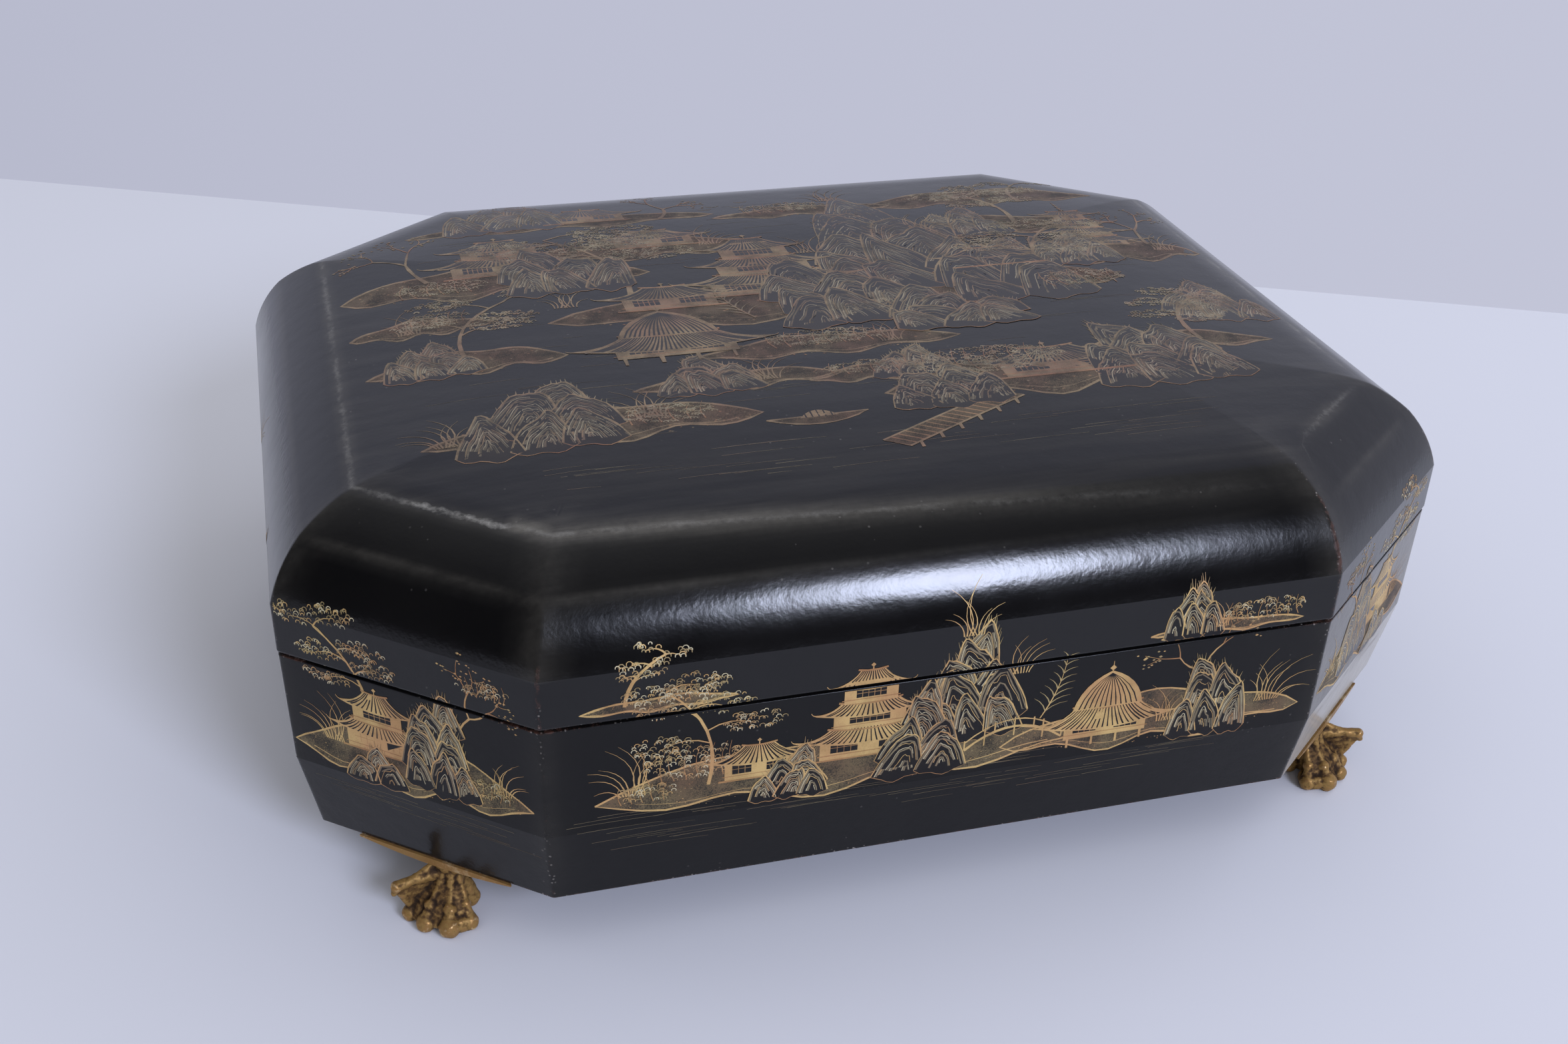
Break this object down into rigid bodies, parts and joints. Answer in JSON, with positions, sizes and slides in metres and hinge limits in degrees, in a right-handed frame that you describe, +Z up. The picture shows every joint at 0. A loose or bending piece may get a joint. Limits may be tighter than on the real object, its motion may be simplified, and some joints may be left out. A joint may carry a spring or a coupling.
{
  "type": "game box",
  "caption": "Octagonal black and gilt lacquer game box with a lift-off lid with round shoulders, carved giltwood paw feet, lidded counter boxes and stacked counter trays inside.",
  "frame": {"origin": "on the floor, under the centre of the box", "axes": "+X along the long side towards the right end, +Y from the front to the back, +Z up; -Y is the front"},
  "size_m": [0.38, 0.314, 0.1372],
  "materials": {
    "black_lacquer": "black lacquer over wood, soft gloss, worn at the edges, with gilt decoration",
    "inner_lacquer": "plain dark lacquer, satin",
    "dark_gilding": "carved wood, darkened gilding, rubbed bright on the knuckles",
    "counter_lacquer": "black lacquer with gilt borders, satin gloss",
    "tray_lacquer": "dark red-brown lacquer, satin"
  },
  "bodies": {
    "base": {"base_wall_front": "black_lacquer", "base_wall_front_right": "black_lacquer", "base_wall_right": "black_lacquer", "base_wall_back_right": "black_lacquer", "base_wall_back": "black_lacquer", "base_wall_back_left": "black_lacquer", "base_wall_left": "black_lacquer", "base_wall_front_left": "black_lacquer", "lining_front": "inner_lacquer", "lining_front_right": "inner_lacquer", "lining_right": "inner_lacquer", "lining_back_right": "inner_lacquer", "lining_back": "inner_lacquer", "lining_back_left": "inner_lacquer", "lining_left": "inner_lacquer", "lining_front_left": "inner_lacquer", "base_bottom": "inner_lacquer", "foot_front_left": "dark_gilding", "foot_front_right": "dark_gilding", "foot_back_left": "dark_gilding", "foot_back_right": "dark_gilding"},
    "lid": {"lid_rail_front": "black_lacquer", "lid_rail_front_right": "black_lacquer", "lid_rail_right": "black_lacquer", "lid_rail_back_right": "black_lacquer", "lid_rail_back": "black_lacquer", "lid_rail_back_left": "black_lacquer", "lid_rail_left": "black_lacquer", "lid_rail_front_left": "black_lacquer", "lid_top_panel": "black_lacquer"},
    "counter_box_front_left": {"counter_box_front_left": "counter_lacquer"},
    "counter_lid_front_left": {"counter_lid_front_left": "counter_lacquer"},
    "counter_box_front_right": {"counter_box_front_right": "counter_lacquer"},
    "counter_lid_front_right": {"counter_lid_front_right": "counter_lacquer"},
    "counter_box_front": {"counter_box_front": "counter_lacquer"},
    "counter_lid_front": {"counter_lid_front": "counter_lacquer"},
    "counter_box_back_left": {"counter_box_back_left": "counter_lacquer"},
    "counter_lid_back_left": {"counter_lid_back_left": "counter_lacquer"},
    "counter_box_back_right": {"counter_box_back_right": "counter_lacquer"},
    "counter_lid_back_right": {"counter_lid_back_right": "counter_lacquer"},
    "counter_box_back": {"counter_box_back": "counter_lacquer"},
    "counter_lid_back": {"counter_lid_back": "counter_lacquer"},
    "counter_tray_front_left_1": {"counter_tray_front_left_1": "tray_lacquer"},
    "counter_tray_front_left_2": {"counter_tray_front_left_2": "tray_lacquer"},
    "counter_tray_front_left_3": {"counter_tray_front_left_3": "tray_lacquer"},
    "counter_tray_front_right_1": {"counter_tray_front_right_1": "tray_lacquer"},
    "counter_tray_front_right_2": {"counter_tray_front_right_2": "tray_lacquer"},
    "counter_tray_front_right_3": {"counter_tray_front_right_3": "tray_lacquer"},
    "counter_tray_back_left_1": {"counter_tray_back_left_1": "tray_lacquer"},
    "counter_tray_back_left_2": {"counter_tray_back_left_2": "tray_lacquer"},
    "counter_tray_back_left_3": {"counter_tray_back_left_3": "tray_lacquer"},
    "counter_tray_back_right_1": {"counter_tray_back_right_1": "tray_lacquer"},
    "counter_tray_back_right_2": {"counter_tray_back_right_2": "tray_lacquer"},
    "counter_tray_back_right_3": {"counter_tray_back_right_3": "tray_lacquer"}
  },
  "joints": [
    {"name": "lid_lift", "type": "slide", "parent": "base", "child": "lid", "axis": [0, 0, 1], "range_m": [0, 0.16]},
    {"name": "box_lift_front_left", "type": "slide", "parent": "base", "child": "counter_box_front_left", "axis": [0, 0, 1], "range_m": [0, 0.022]},
    {"name": "box_lid_lift_front_left", "type": "slide", "parent": "counter_box_front_left", "child": "counter_lid_front_left", "axis": [0, 0, 1], "range_m": [0, 0.02]},
    {"name": "box_lift_front_right", "type": "slide", "parent": "base", "child": "counter_box_front_right", "axis": [0, 0, 1], "range_m": [0, 0.022]},
    {"name": "box_lid_lift_front_right", "type": "slide", "parent": "counter_box_front_right", "child": "counter_lid_front_right", "axis": [0, 0, 1], "range_m": [0, 0.02]},
    {"name": "box_lift_front", "type": "slide", "parent": "base", "child": "counter_box_front", "axis": [0, 0, 1], "range_m": [0, 0.022]},
    {"name": "box_lid_lift_front", "type": "slide", "parent": "counter_box_front", "child": "counter_lid_front", "axis": [0, 0, 1], "range_m": [0, 0.02]},
    {"name": "box_lift_back_left", "type": "slide", "parent": "base", "child": "counter_box_back_left", "axis": [0, 0, 1], "range_m": [0, 0.022]},
    {"name": "box_lid_lift_back_left", "type": "slide", "parent": "counter_box_back_left", "child": "counter_lid_back_left", "axis": [0, 0, 1], "range_m": [0, 0.02]},
    {"name": "box_lift_back_right", "type": "slide", "parent": "base", "child": "counter_box_back_right", "axis": [0, 0, 1], "range_m": [0, 0.022]},
    {"name": "box_lid_lift_back_right", "type": "slide", "parent": "counter_box_back_right", "child": "counter_lid_back_right", "axis": [0, 0, 1], "range_m": [0, 0.02]},
    {"name": "box_lift_back", "type": "slide", "parent": "base", "child": "counter_box_back", "axis": [0, 0, 1], "range_m": [0, 0.022]},
    {"name": "box_lid_lift_back", "type": "slide", "parent": "counter_box_back", "child": "counter_lid_back", "axis": [0, 0, 1], "range_m": [0, 0.02]},
    {"name": "tray_lift_front_left_1", "type": "slide", "parent": "base", "child": "counter_tray_front_left_1", "axis": [0, 0, 1], "range_m": [0, 0.04]},
    {"name": "tray_lift_front_left_2", "type": "slide", "parent": "counter_tray_front_left_1", "child": "counter_tray_front_left_2", "axis": [0, 0, 1], "range_m": [0, 0.04]},
    {"name": "tray_lift_front_left_3", "type": "slide", "parent": "counter_tray_front_left_2", "child": "counter_tray_front_left_3", "axis": [0, 0, 1], "range_m": [0, 0.04]},
    {"name": "tray_lift_front_right_1", "type": "slide", "parent": "base", "child": "counter_tray_front_right_1", "axis": [0, 0, 1], "range_m": [0, 0.04]},
    {"name": "tray_lift_front_right_2", "type": "slide", "parent": "counter_tray_front_right_1", "child": "counter_tray_front_right_2", "axis": [0, 0, 1], "range_m": [0, 0.04]},
    {"name": "tray_lift_front_right_3", "type": "slide", "parent": "counter_tray_front_right_2", "child": "counter_tray_front_right_3", "axis": [0, 0, 1], "range_m": [0, 0.04]},
    {"name": "tray_lift_back_left_1", "type": "slide", "parent": "base", "child": "counter_tray_back_left_1", "axis": [0, 0, 1], "range_m": [0, 0.04]},
    {"name": "tray_lift_back_left_2", "type": "slide", "parent": "counter_tray_back_left_1", "child": "counter_tray_back_left_2", "axis": [0, 0, 1], "range_m": [0, 0.04]},
    {"name": "tray_lift_back_left_3", "type": "slide", "parent": "counter_tray_back_left_2", "child": "counter_tray_back_left_3", "axis": [0, 0, 1], "range_m": [0, 0.04]},
    {"name": "tray_lift_back_right_1", "type": "slide", "parent": "base", "child": "counter_tray_back_right_1", "axis": [0, 0, 1], "range_m": [0, 0.04]},
    {"name": "tray_lift_back_right_2", "type": "slide", "parent": "counter_tray_back_right_1", "child": "counter_tray_back_right_2", "axis": [0, 0, 1], "range_m": [0, 0.04]},
    {"name": "tray_lift_back_right_3", "type": "slide", "parent": "counter_tray_back_right_2", "child": "counter_tray_back_right_3", "axis": [0, 0, 1], "range_m": [0, 0.04]}
  ]
}
